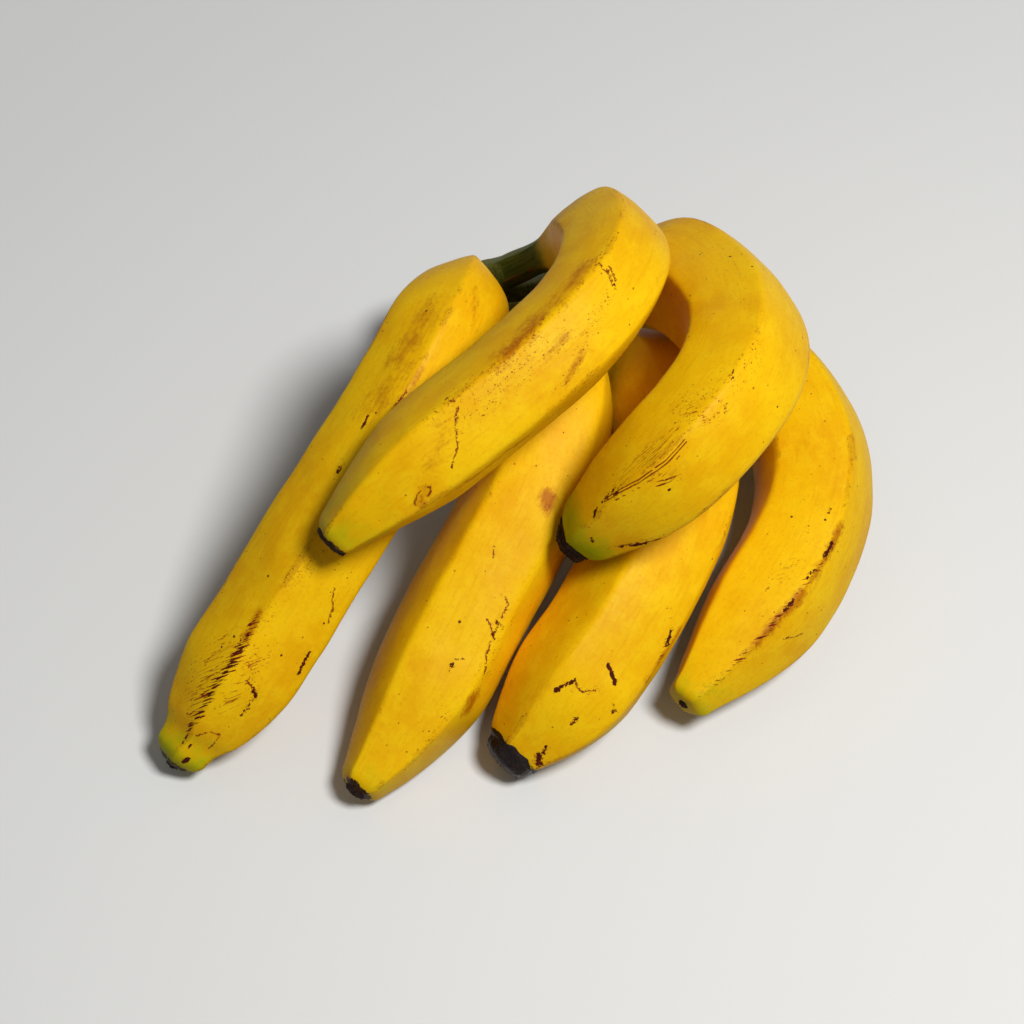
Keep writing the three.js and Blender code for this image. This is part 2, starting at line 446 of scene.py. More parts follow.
def sweep_tree():
    tree = new_tree("Swept skin", SWEEP_INPUTS)
    plan = Plan(tree)
    given = plan.add("NodeGroupInput")
    spine = given["Geometry"]
    size = plan.add("GeometryNodeAttributeDomainSize", {"component": "MESH"}, {"Geometry": spine})
    last = size["Point Count"] - 1
    spot = plan.add("ShaderNodeSeparateXYZ", {}, {0: plan.add("GeometryNodeInputPosition")})
    x, y, height = spot["X"], spot["Y"], spot["Z"]
    turn = plan.add("ShaderNodeMath", {"operation": "ARCTAN2"}, {0: y, 1: x})
    inward = (x * x + y * y) ** 0.5
    station = (height + 1) * 0.5 * last + 0.5

    girth = looked_up(plan, spine, station, "girth", "FLOAT")
    along = looked_up(plan, spine, station, "along", "FLOAT")
    on_peel = shifted_place(plan, given, turn, inward, girth, along)
    dents = uneven(plan, on_peel, given["Dent Depth"], given["Dent Size"], 1.0, DENTS_INWARD)
    lumps = uneven(plan, on_peel, given["Lump Depth"], given["Lump Size"], 4.0, LUMPS_EVEN)
    reach = (five_sided(plan, given, turn, girth) + dents + lumps) * inward

    # both ends close in a shallow dome, deepest in the middle
    dome = plan.add("ShaderNodeMath", {"operation": "MAXIMUM"}, {0: 1 - inward * inward, 1: 0.0})
    rise = height * dome ** 0.5 * (given["Cap Depth"] + lumps * 2)
    cosine, sine = turn.maths("COSINE", turn), turn.maths("SINE", turn)
    placed = looked_up(plan, spine, station, "centre")
    for name, length in (("side", reach * cosine), ("across", reach * sine), ("forward", rise)):
        placed = placed.moved(looked_up(plan, spine, station, name).scaled(length))

    rows = [("peel", "FLOAT_VECTOR", on_peel), ("along", "FLOAT", along), ("turn", "FLOAT", turn)]
    skin = keep_rows(plan, sweep_blank(plan, given, last), rows)
    skin = plan.add("GeometryNodeSetPosition", {}, {"Geometry": skin, "Position": placed})
    finish_tree(plan, skin, given["Material"])
    return tree


SWEEP = sweep_tree()
print("sweeping tree:", len(SWEEP.nodes), "nodes")

# %% [markdown]
# ## Growing a skin
# The spine goes to the tree as a row of loose points that carry their directions and thickness.
# The result is made a plain mesh at once, because a part is handed on without live modifiers.


# %% Running a tree
def link(name, mesh):
    thing = bpy.data.objects.new(name, mesh)
    bpy.context.scene.collection.objects.link(thing)
    return thing


def run_tree(name, start, tree, values):
    """The plain mesh that a tree makes of a starting mesh, as a new object."""
    source = link(f"{name}_start", start)
    modifier = source.modifiers.new("tree", "NODES")
    modifier.node_group = tree
    for item in tree.interface.items_tree:
        if item.in_out == "INPUT" and item.name in values:
            modifier[item.identifier] = values[item.name]
    graph = bpy.context.evaluated_depsgraph_get()
    mesh = bpy.data.meshes.new_from_object(source.evaluated_get(graph))
    bpy.data.objects.remove(source)
    mesh.name = name
    return link(name, mesh)


def spine_points(stations):
    """Loose points along a spine, with everything the sweeping tree reads."""
    mesh = bpy.data.meshes.new("spine")
    mesh.from_pydata([tuple(point) for point in stations["centre"]], [], [])
    for name, rows in stations.items():
        kind = "FLOAT" if rows.ndim == 1 else "FLOAT_VECTOR"
        field = "value" if rows.ndim == 1 else "vector"
        mesh.attributes.new(name, kind, "POINT").data.foreach_set(field, rows.ravel())
    return mesh


def read_rows(mesh, name):
    rows = np.empty(len(mesh.vertices), np.float32)
    mesh.attributes[name].data.foreach_get("value", rows)
    return rows


def write_rows(mesh, name, rows):
    mesh.attributes.new(name, "FLOAT", "POINT").data.foreach_set("value", rows.astype(np.float32))


# %% [markdown]
# ## How each banana ends
# The far ends differ. Some stay rounded and green with only a thin dark rim, others narrow to a
# cut-off black stump. For each banana these few sizes say how far the peel reaches over its withered
# end, how the last bit rounds off, and how green the two ends still are.

# %% Ends of the bananas
MM = 0.001
ENDS = {
    # lengths are in mm
    # reach: peel beyond its solid; round: length of the last curve; shrink: share of girth it loses
    # dome: how far the end bulges; green and fade: how green the tip is, and over what length
    # char: length of blackened peel, and below 0 there is none
    # stump, length, rough: share of the tip's girth, length beyond the peel and size of its lumps
    # waist: a narrow place, as distance from the end, share of the girth and width
    # overlap, proud: how far a swollen end reaches back over the peel, and stands out from it
    "lower_banana_1": {
        "reach": 2.4, "round": 4.5, "shrink": 0.42, "dome": 1.2, "green": 0.8, "fade": 13,
        "stump": 0.38, "length": 2.0, "rough": 1.2, "wet": False, "char": 0.0,
        "waist": (8.5, 0.12, 4),
    },
    "lower_banana_2": {
        "reach": 2.8, "round": 3.6, "shrink": 0.34, "dome": 0.9, "green": 0.35, "fade": 12,
        "stump": 0.52, "length": 1.8, "rough": 1.2, "wet": False, "char": 0.1,
    },
    "lower_banana_3": {
        "reach": 0.0, "round": 4.0, "shrink": 0.15, "dome": -0.8, "green": 0.0, "fade": 10,
        "length": 4.6, "rough": 0.9, "wet": True, "char": 1.6,
        "overlap": 2.2, "proud": 0.75,
    },
    "lower_banana_4": {
        "reach": 2.8, "round": 2.6, "shrink": 0.18, "dome": 1.0, "green": 0.5, "fade": 12,
        "stump": 0.3, "length": 1.8, "rough": 1.0, "wet": False, "char": -1.4,
    },
    "upper_banana_1": {
        "reach": 2.8, "round": 3.8, "shrink": 0.30, "dome": 1.2, "green": 0.5, "fade": 24,
        "stump": 0.74, "length": 1.4, "rough": 1.2, "wet": False, "char": 0.3,
    },
    "upper_banana_2": {
        "reach": 0.0, "round": 7.0, "shrink": 0.24, "dome": -0.8, "green": 1.15, "fade": 15,
        "length": 4.9, "rough": 1.9, "wet": False, "char": 1.2,
        "overlap": 2.0, "proud": 1.0,
    },
}


# %% [markdown]
# ## Growing a peel
# The spine's thickness is changed a little before the sweep: the last few millimetres round off and
# one tip has a waist. Afterwards, anything that noise has pushed past the measured box is pressed
# flat against it, as the fruit's own weight does on a table.

# %% Growing a peel
PEEL_SPACING = 0.0007
PEEL_SIDES = 208
RIDGE_REACH = 1.045
BOW_WIDE = 2.6
BOW_NARROW = 4.5
NARROWING_CURVE = 2.5


def peel_narrowing(end, along, stop):
    """The share of its girth that the peel keeps as it rounds off at its far end."""
    last_bit = np.clip((along - stop) / (end["round"] * MM) + 1, 0, 1)
    return 1 - end["shrink"] * last_bit**NARROWING_CURVE


def keep_in_box(piece):
    """Press what would reach out of the measured box, such as under the floor, flat against it."""
    rows = np.empty(len(piece.data.vertices) * 3, np.float32)
    piece.data.vertices.foreach_get("co", rows)
    low, high = solids_box
    rows = np.clip(rows.reshape(-1, 3), low, high)
    piece.data.vertices.foreach_set("co", rows.ravel())
    return piece


def grow_peel(name, material, seed):
    spine, end = spines[name], ENDS[name]
    stop = spine.peel_end() + end["reach"] * MM
    stations = spine.stations(0, stop, PEEL_SPACING)
    stations["girth"] *= peel_narrowing(end, stations["along"], stop)
    if "waist" in end:
        place, share, width = end["waist"]
        off_waist = (stop - stations["along"]) / MM - place
        stations["girth"] *= 1 - share * np.exp(-((off_waist / width) ** 2))
    values = {
        "Sides": PEEL_SIDES,
        "Cap Rings": 6,
        "Cap Depth": end["dome"] * MM,
        "Ridge Turn": spine.ridge_turn,
        "Ridge Reach": RIDGE_REACH,
        "Bow Wide": BOW_WIDE,
        "Bow Narrow": BOW_NARROW,
        "Full Girth": float(spine.girth.max()),
        "Dent Depth": 1.3 * MM,
        "Dent Size": 22 * MM,
        "Lump Depth": 0.16 * MM,
        "Lump Size": 5 * MM,
        "Seed": float(seed),
        "Material": material,
    }
    return keep_in_box(run_tree(f"peel_{name}", spine_points(stations), SWEEP, values))


# %% [markdown]
# ## Marks on the peel
# Bananas are scuffed on their way to the table. Each mark is a short stroke drawn on the peel with
# two coordinates: millimetres along the banana from the crown, and degrees round it from its top
# line. Strokes are easier to place than paint, and they stay on the fruit when its shape changes.

# %% Strokes for each banana
# (kind, strength, half width in mm, points as (mm along, degrees round))
STROKES = {
    "lower_banana_1": [
        ("slash", 1.0, 2.4, [(179, -12), (185, -12), (191, -10)]),
        ("slash", 0.9, 1.8, [(192, -9), (199, -11), (204, -12), (210, -9)]),
        ("slash", 0.15, 3.4, [(188, -6), (196, -2), (206, -5)]),
        ("hair", 1.0, 8.0, [(182, 2), (190, 10), (202, 8)]),
        ("hair", 0.8, 6.0, [(178, -28), (188, -28), (196, -34)]),
        ("bruise", 0.8, 2.6, [(168, -8), (177, -11)]),
        ("slash", 0.6, 1.6, [(169, -8), (177, -11)]),
        ("scuff", 0.8, 0.9, [(177, -6), (179, -8)]),
        ("thread", 1.0, 0.9, [(187, -30), (188, -41), (189, -49)]),
        ("scuff", 0.8, 1.3, [(188, -43), (190, -51)]),
        ("scuff", 0.55, 1.7, [(190, -51), (197, -54)]),
        ("dust", 0.9, 4.0, [(180, -22), (189, -44)]),
        ("scuff", 1.0, 1.0, [(103, 6), (107, 4)]),
        ("scuff", 0.7, 1.2, [(119, 3), (121, 0)]),
        ("dust", 0.8, 2.5, [(119, 4), (122, -2)]),
        ("thread", 1.0, 0.9, [(150, -60), (154, -66), (155, -70), (161, -76)]),
        ("scuff", 0.9, 1.1, [(171, -74), (178, -77)]),
        ("bruise", 0.45, 8, [(72, 8), (86, 5)]),
        ("bruise", 0.45, 7, [(92, 4), (102, 9)]),
        ("bruise", 0.5, 2.0, [(86, -17), (114, -12)]),
        ("thread", 1.0, 0.9, [(92, -16), (103, -12), (112, -11)]),
        ("bruise", 0.35, 2.0, [(61, -28), (70, -45)]),
        ("dust", 0.7, 4, [(143, -26), (172, -12)]),
        ("scuff", 3.0, 1.25, [(218.4, -43), (218.9, -43)]),
        ("thread", 0.6, 0.9, [(211, -24), (207, -36), (206, -52), (212, -60)]),
        ("scuff", 0.8, 0.8, [(212, -13), (215, -13)]),
        ("scuff", 0.8, 0.8, [(214, -28), (215, -29)]),
    ],
    "lower_banana_2": [
        ("bruise", 1.0, 4, [(105, -33), (107, -36)]),
        ("dust", 1.0, 3, [(104, -32), (108, -37)]),
        ("dust", 0.6, 3, [(136, -44), (142, -58)]),
        ("thread", 1.0, 0.9, [(136, -40), (138, -46), (143, -46)]),
        ("scuff", 0.6, 1.3, [(144, -45), (149, -47)]),
        ("thread", 1.0, 0.9, [(150, -47), (155, -49), (161, -58)]),
        ("thread", 1.0, 0.9, [(145, -34), (147, -43), (150, -50)]),
        ("dust", 1.0, 2.6, [(143, -45), (160, -57)]),
        ("bruise", 0.9, 4, [(168, -64), (171, -68)]),
        ("dust", 0.9, 4, [(160, -58), (172, -68)]),
        ("scuff", 0.6, 1.3, [(162, -25), (164, -27)]),
        ("thread", 1.0, 0.9, [(161, -25), (159, -34)]),
        ("dust", 1.0, 1.6, [(176, -47), (189, -53), (197, -62)]),
        ("dust", 0.6, 3, [(140, 60), (153, 50)]),
        ("thread", 0.7, 0.9, [(124, -8), (128, -14)]),
    ],
    "lower_banana_3": [
        ("scuff", 2.2, 0.9, [(184.2, -1), (183.4, -2)]),
        ("scuff", 1.5, 0.65, [(183, -2), (181, -5), (178.6, -9)]),
        ("thread", 1.0, 0.9, [(179, -10), (180, -20), (177, -31)]),
        ("dust", 0.9, 1.8, [(180, -12), (177, -30)]),
        ("scuff", 1.7, 0.85, [(169.6, -25), (170.2, -30), (171.2, -34)]),
        ("scuff", 1.3, 1.0, [(171.4, -36), (172.4, -41)]),
        ("scuff", 0.7, 1.2, [(177, -53), (178, -58)]),
        ("scuff", 1.0, 1.1, [(186.4, -36), (188.4, -36)]),
        ("scuff", 0.9, 1.0, [(152, -58), (156, -62)]),
        ("slash", 0.6, 1.2, [(151, -57), (159, -65)]),
        ("scuff", 1.0, 1.8, [(201, -44), (203, -60)]),
        ("scuff", 0.7, 1.3, [(198, -40), (200, -46)]),
        ("hair", 0.6, 3, [(148, -49), (149, -51)]),
        ("bruise", 0.6, 2.2, [(150, -66), (166, -66)]),
    ],
    "lower_banana_4": [
        ("dust", 1.0, 2.2, [(158, -33), (225, -29)]),
        ("scuff", 0.85, 1.3, [(166, -30), (171, -29)]),
        ("slash", 0.2, 1.8, [(163, -32), (184, -26)]),
        ("scuff", 0.7, 1.1, [(176, -27), (180, -26)]),
        ("scuff", 0.85, 1.1, [(188, -27), (192, -27)]),
        ("scuff", 0.45, 1.0, [(194, -27), (200, -27)]),
        ("slash", 0.35, 1.2, [(184, -26), (206, -28)]),
        ("slash", 0.3, 1.3, [(209, -29), (222, -29)]),
        ("bruise", 0.8, 2.6, [(160, -32), (204, -28)]),
        ("bruise", 0.6, 2.0, [(133, -31), (138, -33)]),
        ("scuff", 0.7, 1.0, [(156, -16), (158, -17)]),
        ("scuff", 0.6, 0.9, [(153, -27), (155, -26)]),
        ("scuff", 0.6, 0.9, [(188, -1), (190, 0)]),
        ("thread", 1.0, 0.9, [(197, -50), (194, -60), (190, -69)]),
        ("hair", 0.6, 4, [(178, -10), (184, -2)]),
    ],
    "upper_banana_1": [
        ("thread", 1.0, 0.9, [(118, 2), (119, -6), (119, -12), (121, -26)]),
        ("thread", 1.0, 0.9, [(117.4, -8), (117.8, -14), (119.6, -25)]),
        ("scuff", 0.8, 0.9, [(120.4, -24), (121, -28)]),
        ("dust", 1.0, 3.2, [(124, -26), (133, -38)]),
        ("bruise", 0.6, 5.5, [(120, 12), (140, 12), (156, 6)]),
        ("bruise", 0.8, 2.8, [(140, 6), (154, 3)]),
        ("dust", 0.8, 2.6, [(138, 5), (156, 2)]),
        ("dust", 0.65, 2.0, [(110, 2), (186, 0)]),
        ("dust", 1.0, 3.4, [(138, -22), (147, -29)]),
        ("bruise", 0.35, 2.2, [(138, -22), (146, -28)]),
        ("dust", 1.0, 2.8, [(136, -46), (148, -61)]),
        ("bruise", 0.45, 2.0, [(138, -48), (146, -60)]),
        ("dust", 0.75, 7, [(146, -14), (172, -20)]),
        ("thread", 1.0, 0.9, [(171, -5), (175, -16), (177, -28), (179, -40), (184, -55)]),
        ("scuff", 0.5, 1.0, [(183, -52), (184, -55)]),
        ("thread", 1.0, 0.9, [(172, -4), (174, 2), (173, 6)]),
        ("thread", 1.0, 0.9, [(193, -53), (192, -60), (195, -66)]),
        ("thread", 1.0, 0.9, [(194, -55), (197, -58), (199, -66)]),
        ("dust", 1.0, 3.0, [(193, -56), (198, -66)]),
        ("bruise", 0.5, 2.5, [(193, -56), (197, -66)]),
        ("dust", 1.0, 1.8, [(130, -86), (162, -90), (176, -86), (190, -82)]),
        ("bruise", 0.5, 2.2, [(160, -90), (190, -82)]),
        ("bruise", 0.3, 5, [(176, -14), (188, -40)]),
    ],
    "upper_banana_2": [
        ("line", 1.0, 2.4, [(198, -10), (192, -15), (187, -20), (180, -24), (174, -23)]),
        ("scuff", 0.8, 1.1, [(195.6, -9), (198.4, -10)]),
        ("scuff", 0.9, 1.2, [(193, -13), (194, -15)]),
        ("scuff", 0.7, 1.0, [(193.4, -8), (194.6, -10)]),
        ("scuff", 1.0, 0.8, [(200.8, -11), (202, -13), (202.8, -17)]),
        ("scuff", 1.0, 1.0, [(209.4, -38), (209.8, -43)]),
        ("comb", 1.0, 5, [(176, -12), (190, -8)]),
        ("comb", 0.8, 3.2, [(184, -30), (180, -38)]),
        ("slash", 0.35, 1.5, [(184, -34), (181, -42)]),
        ("dust", 0.8, 6, [(168, 4), (167, -20)]),
        ("hair", 0.6, 3.4, [(169, -6), (167, -20)]),
        ("thread", 1.0, 0.9, [(163, -26), (164, -30), (165, -34)]),
        ("scuff", 0.7, 0.9, [(157, -17), (158, -19)]),
        ("scuff", 0.8, 1.1, [(206, -75), (205, -78)]),
        ("scuff", 1.0, 1.1, [(202.6, -82), (199, -86)]),
        ("scuff", 0.8, 0.8, [(196, -89), (194, -92)]),
        ("thread", 1.0, 0.9, [(206, -74), (196, -89), (188, -104), (180, -114)]),
        ("dust", 0.9, 1.6, [(208, -70), (196, -86), (176, -110)]),
        ("dust", 0.6, 6, [(150, -26), (164, -14)]),
    ],
}

# %% [markdown]
# ## From strokes to numbers on the skin
# Every point of the skin gets a number for how near it is to a stroke of each kind. Patches fade
# from the stroke outwards. Lines keep the distance with its sign, so that a scratch can wander to
# either side. The material later breaks these numbers up into ragged skin, specks or fine hairs.

# %% Marking a skin
PATCHES = ("scuff", "slash", "dust", "bruise", "hair", "comb")
LINES = ("line", "thread")
FAR_AWAY = 50.0
THICKER_THAN_STALK = 1.02
STALK_FADES_BY = 0.65


def near_stroke(along, arc, girth, points):
    """For every point of a skin, its distance in mm to a stroke, and its distance to one side."""
    found = np.full(len(along), 1e3)
    beside = np.full(len(along), FAR_AWAY)
    for (first, first_turn), (second, second_turn) in zip(points, points[1:]):
        first_arc, second_arc = np.radians(first_turn) * girth, np.radians(second_turn) * girth
        run, climb = second - first, second_arc - first_arc
        share = ((along - first) * run + (arc - first_arc) * climb) / (run**2 + climb**2)
        inside = (share > -0.02) & (share < 1.02)
        share = np.clip(share, 0, 1)
        off_along, off_arc = along - first - share * run, arc - first_arc - share * climb
        distance = np.hypot(off_along, off_arc)
        signed = np.sign(run * off_arc - climb * off_along) * distance
        beside = np.where((distance < found) & inside, signed, beside)
        found = np.minimum(found, distance)
    return found, beside


def mark_peel(piece, name):
    """Give the skin its numbers for marks, for the green ends and for the dark rim."""
    mesh, end = piece.data, ENDS[name]
    along = read_rows(mesh, "along") / MM
    spine = spines[name]
    girth = np.interp(along * MM, spine.along, spine.girth) / MM
    arc = read_rows(mesh, "turn") * girth
    layers = {kind: np.zeros(len(along)) for kind in PATCHES}
    layers.update({f"beside_{kind}": np.full(len(along), FAR_AWAY) for kind in LINES})
    for kind, strength, width, points in STROKES[name]:
        distance, beside = near_stroke(along, arc, girth, points)
        if kind in LINES:
            key = f"beside_{kind}"
            layers[key] = np.where(distance < width, beside, layers[key])
        else:
            value = strength * np.clip(1 - distance / width, 0, 1)
            layers[kind] = np.maximum(layers[kind], value)
    from_tip = along.max() - along
    swelling = girth / girth.min() - THICKER_THAN_STALK
    thin = 1 - np.clip(swelling / STALK_FADES_BY, 0, 1)
    half = math.pi / RIDGES
    off_ridge = (arc / girth - spine.ridge_turn + half) % (2 * half) - half
    layers["from_ridge"] = np.abs(off_ridge) * girth
    layers["arc"] = arc
    layers["from_tip"] = from_tip - end["char"]
    layers["stalk"] = thin * (along < along.max() / 2)
    layers["tip_green"] = end["green"] * np.clip(1.2 - from_tip / end["fade"], 0, 1)
    for key, rows in layers.items():
        write_rows(mesh, key, rows)
    return piece


# %% [markdown]
# ## Tools for painting
# A finish is a Principled shader. Its fixed numbers go on its own sockets and only what changes over
# the surface is wired. Noise breaks up every mark, and round dots come from a cell pattern in which
# each cell holds one dot or none.


# %% Painting tools
def new_material(name):
    material = bpy.data.materials.new(name)
    material.use_nodes = True
    return material, Plan(material.node_tree)


def finish_material(plan, fixed, varying):
    """A Principled shader with its fixed numbers on its own sockets, wired to the output."""
    shader = plan.add("ShaderNodeBsdfPrincipled", {}, {**fixed, **varying})
    plan.add("ShaderNodeOutputMaterial", {}, {"Surface": shader})


def noise(plan, place, scale, detail=2.0, roughness=0.5):
    values = {"Vector": place, "Scale": scale, "Detail": detail, "Roughness": roughness}
    return plan.add("ShaderNodeTexNoise", {}, values)


def dots(plan, place, scale, small, large):
    """Round dots of uneven size, one or none in each cell of a loose grid."""
    cell = plan.add("ShaderNodeTexVoronoi", {}, {"Vector": place, "Scale": scale})
    chance = plan.add("ShaderNodeSeparateColor", {}, {0: cell["Color"]})["Red"]
    size = chance**3 * (large - small) + small
    return 1 - (cell["Distance"] / size).rising(0.6, 1.0)


def green_skin(pattern):
    """The dark green that the stalks and the crown share."""
    return pattern.rising(0.38, 0.62).mixes(rgb(72, 76, 8), rgb(104, 102, 20))


def reading(plan, name):
    """A number that was written on the skin."""
    return plan.add("ShaderNodeAttribute", {"attribute_name": name})["Fac"]


def ragged(value, noises, low=0.5, high=0.7):
    """A soft-edged value cut off where noises, each with a strength, push it over a limit."""
    pushed = value
    for pattern, strength in noises:
        pushed = pushed + (pattern - 0.5) * strength
    return pushed.rising(low, high) * value.rising(0.0, 0.1)


# %% [markdown]
# ## Patterns that the peel shares
# Everything on the peel is worked out from the place on the fruit, in millimetres. The same few
# noises, from a hand's width down to a grain, are used for the colour, the marks and the relief, so
# that they belong together. Two more coordinates run askew and lengthwise, for slashes and hairs.


# %% Patterns of the peel
def peel_patterns(plan):
    peel = plan.add("ShaderNodeAttribute", {"attribute_name": "peel"})["Vector"].scaled(1000.0)
    fibres = peel.stretched((1.0, 1.0, 0.10))
    arc, along = reading(plan, "arc"), plan.add("ShaderNodeSeparateXYZ", {}, {0: peel})["Z"]
    with_slash, over_slash = along * 0.77 + arc * 0.64, arc * 0.77 - along * 0.64
    askew = {"X": with_slash * 0.10, "Y": over_slash}
    lengthwise = {"X": arc - along * 0.10, "Y": along * 0.04}
    return SimpleNamespace(
        plan=plan,
        peel=peel,
        askew=plan.add("ShaderNodeCombineXYZ", {}, askew),
        lengthwise=plan.add("ShaderNodeCombineXYZ", {}, lengthwise),
        broad=noise(plan, peel, 0.035, 2.0),
        patches=noise(plan, peel, 0.16, 3.0, 0.6),
        mottle=noise(plan, peel, 0.9, 3.0, 0.6),
        grain=noise(plan, peel, 3.2, 2.0, 0.6),
        streaks=noise(plan, fibres, 0.9, 3.0, 0.6),
    )


# %% [markdown]
# ## Ripe yellow, green ends and bruises
# Ripe peel is one warm yellow that wanders: lighter in patches, deeper along its fibres, and
# green where the stalk and the tip ripen last. A bruise is the same peel turned orange-brown, with
# a soft edge.


# %% Yellow, green and bruises
def ripe_yellow(skin):
    colour = skin.broad.rising(0.38, 0.62).mixes(rgb(245, 192, 8), rgb(238, 177, 6))
    colour = (skin.patches.rising(0.40, 0.66) * 0.5).mixes(colour, rgb(249, 204, 18))
    colour = (skin.streaks.rising(0.5, 0.68) * 0.22).mixes(colour, rgb(218, 146, 6))
    return (skin.mottle.rising(0.5, 0.68) * 0.25).mixes(colour, rgb(220, 148, 8))


def green_ends(skin, colour):
    """Green at the tip and on the stalk, and where the stalk is."""
    tip_green = (reading(skin.plan, "tip_green") + (skin.patches - 0.5) * 0.9).rising(0.1, 1.1)
    colour = (tip_green * 0.9).mixes(colour, rgb(148, 168, 8))
    stalk = reading(skin.plan, "stalk") + (skin.streaks - 0.5) * 0.35 + (skin.patches - 0.5) * 0.5
    colour = (stalk.rising(0.2, 0.65) * 0.8).mixes(colour, rgb(140, 138, 12))
    stalk = stalk.rising(0.45, 0.85)
    return stalk.mixes(colour, green_skin(skin.streaks)), stalk


def soft_bruises(skin, colour):
    patterns = ((skin.patches, 1.5), (skin.streaks, 0.6), (skin.mottle, 0.6))
    bruise = ragged(reading(skin.plan, "bruise"), patterns, 0.0, 0.9)
    return (bruise * 0.85).mixes(colour, rgb(180, 94, 4))


# %% [markdown]
# ## Specks
# A ripe banana is speckled: dust-fine specks crowd together in places and along the edges, and
# single dark ones sit everywhere, far apart.


# %% Specks
def specks(skin, colour):
    """The speckled colour, and where the single dark specks are."""
    plan, peel = skin.plan, skin.peel
    crowd = ragged(reading(plan, "dust"), ((skin.mottle, 3.0), (skin.patches, 2.0)), 0.2, 0.7)
    edge = 1 - reading(plan, "from_ridge").rising(0.4, 1.6)
    edge = ragged(edge * skin.broad.rising(0.46, 0.6), ((skin.mottle, 1.5), (skin.patches, 3.0)), 0.4, 1.1)
    crowd = crowd.maths("MAXIMUM", crowd, edge)
    close_set = dots(plan, peel, 1.5, 0.10, 0.62) * crowd
    close_set = close_set + dots(plan, peel, 2.6, 0.2, 0.7) * (crowd * 0.6)
    few = dots(plan, peel, 0.16, 0.0, 0.10)
    tiny = dots(plan, peel, 0.42, 0.0, 0.17)
    colour = (edge * 0.3).mixes(colour, rgb(160, 92, 8))
    colour = (close_set * 0.68).mixes(colour, rgb(148, 70, 12))
    colour = (tiny * 0.75).mixes(colour, rgb(134, 52, 12))
    return (few * 0.97).mixes(colour, rgb(80, 18, 12)), few


# %% [markdown]
# ## Scuffs, hairs and scratches
# Where the skin was broken it dries dark red-brown. Scuffs are ragged patches and slashes are rows
# of short cuts that run askew over an edge. Hairs are the contour lines of a stretched noise, which
# gives fine lines that never cross. A scratch follows one stroke, and the long one is double.


# %% Broken skin
def scars(skin, colour):
    """The colour with scuffs and slashes, and where they are."""
    slash, scuff = reading(skin.plan, "slash"), reading(skin.plan, "scuff")
    cuts = noise(skin.plan, skin.askew, 1.55, 2.0, 0.6)
    scar = ragged(scuff, ((skin.mottle, 1.9), (skin.grain, 0.9)), 0.4, 0.55)
    slashed = (cuts + slash * 0.17 + (skin.grain - 0.5) * 0.12).rising(0.60, 0.64)
    slashed = slashed * slash.rising(0.0, 0.1)
    marked = scar.maths("MAXIMUM", scar, slashed)
    depth = (slash + scuff) * 0.6 + (skin.mottle - 0.5) * 2.5
    dried = depth.rising(0.0, 0.55).mixes(rgb(142, 42, 12), rgb(62, 10, 10))
    return (marked * 0.985).mixes(colour, dried), marked


def fine_hairs(skin, colour):
    hairs = 0.0
    for key, place, scale in (("hair", skin.askew, 0.55), ("comb", skin.lengthwise, 1.1)):
        contour = abs(noise(skin.plan, place, scale, 2.0, 0.6) - 0.5)
        thread = 1 - contour.rising(0.006, 0.022)
        here = ragged(reading(skin.plan, key), ((skin.mottle, 3.5), (skin.patches, 2.0)), 0.3, 0.6)
        hairs = thread * here + hairs
    return (hairs * 0.8).mixes(colour, rgb(150, 54, 10)), hairs


def scratches(skin, colour):
    """Single scratches, and a long one of two lines with a fainter third."""
    thread = abs(reading(skin.plan, "beside_thread") + (skin.mottle - 0.5) * 2.4)
    scratch = (1 - thread.rising(0.16, 0.46)) * (skin.grain * 0.5 + skin.mottle).rising(0.62, 0.72)
    beside = reading(skin.plan, "beside_line") + (skin.streaks - 0.5) * 0.7
    for offset, breaks in ((-0.50, 0.22), (0.30, 0.34), (-1.7, 0.52)):
        line = 1 - abs(beside + offset).rising(0.08, 0.26)
        scratch = line * skin.mottle.rising(breaks, breaks + 0.06) + scratch
    return (scratch * 0.95).mixes(colour, rgb(122, 40, 12))


# %% [markdown]
# ## The whole peel
# The layers go on in the order in which they happen to a banana, and the black rim round the
# withered end comes last. The relief is shallow: fibres and patches stand out, scars sink in.


# %% Peel material
def black_rim(skin, colour):
    rim = reading(skin.plan, "from_tip") + (skin.mottle - 0.5) * 2 + (skin.patches - 0.5) * 4
    rim = 1 - rim.rising(0.0, 0.7)
    black = skin.mottle.rising(0.4, 0.65).mixes(rgb(22, 11, 10), rgb(60, 34, 22))
    return (rim * 0.99).mixes(colour, black), rim


def peel_material():
    material, plan = new_material("banana peel")
    skin = peel_patterns(plan)
    colour, stalk = green_ends(skin, ripe_yellow(skin))
    colour, few = specks(skin, soft_bruises(skin, colour))
    colour, marked = scars(skin, colour)
    colour, hairs = fine_hairs(skin, colour)
    colour, rim = black_rim(skin, scratches(skin, colour))
    rough = (skin.mottle - 0.5) * 0.3 + marked * 0.2 + stalk * 0.08 + 0.46
    height = skin.grain * 0.05 + skin.mottle * 0.12 + skin.streaks * 0.18 + skin.patches * 0.25
    height = height - marked * 0.35 - few * 0.3 - hairs * 0.2 + rim * (skin.mottle * 0.8)
    normal = plan.add("ShaderNodeBump", {}, {"Strength": 0.5, "Distance": 0.0006, "Height": height})
    fixed = {"Specular IOR Level": 0.07}
    finish_material(plan, fixed, {"Base Color": colour, "Roughness": rough, "Normal": normal})
    return material


PEEL = peel_material()
print("peel material:", len(PEEL.node_tree.nodes), "nodes")

# %% [markdown]
# ## Six peels
# With the tree and the material ready, each banana is one call. Every one gets its own number for
# the noise, so no two have the same dents.

# %% Growing the six peels
peels = {}
for seed, name in enumerate(FINGERS, start=1):
    peels[name] = mark_peel(grow_peel(name, PEEL, seed), name)
    print(name, len(peels[name].data.polygons), "faces")

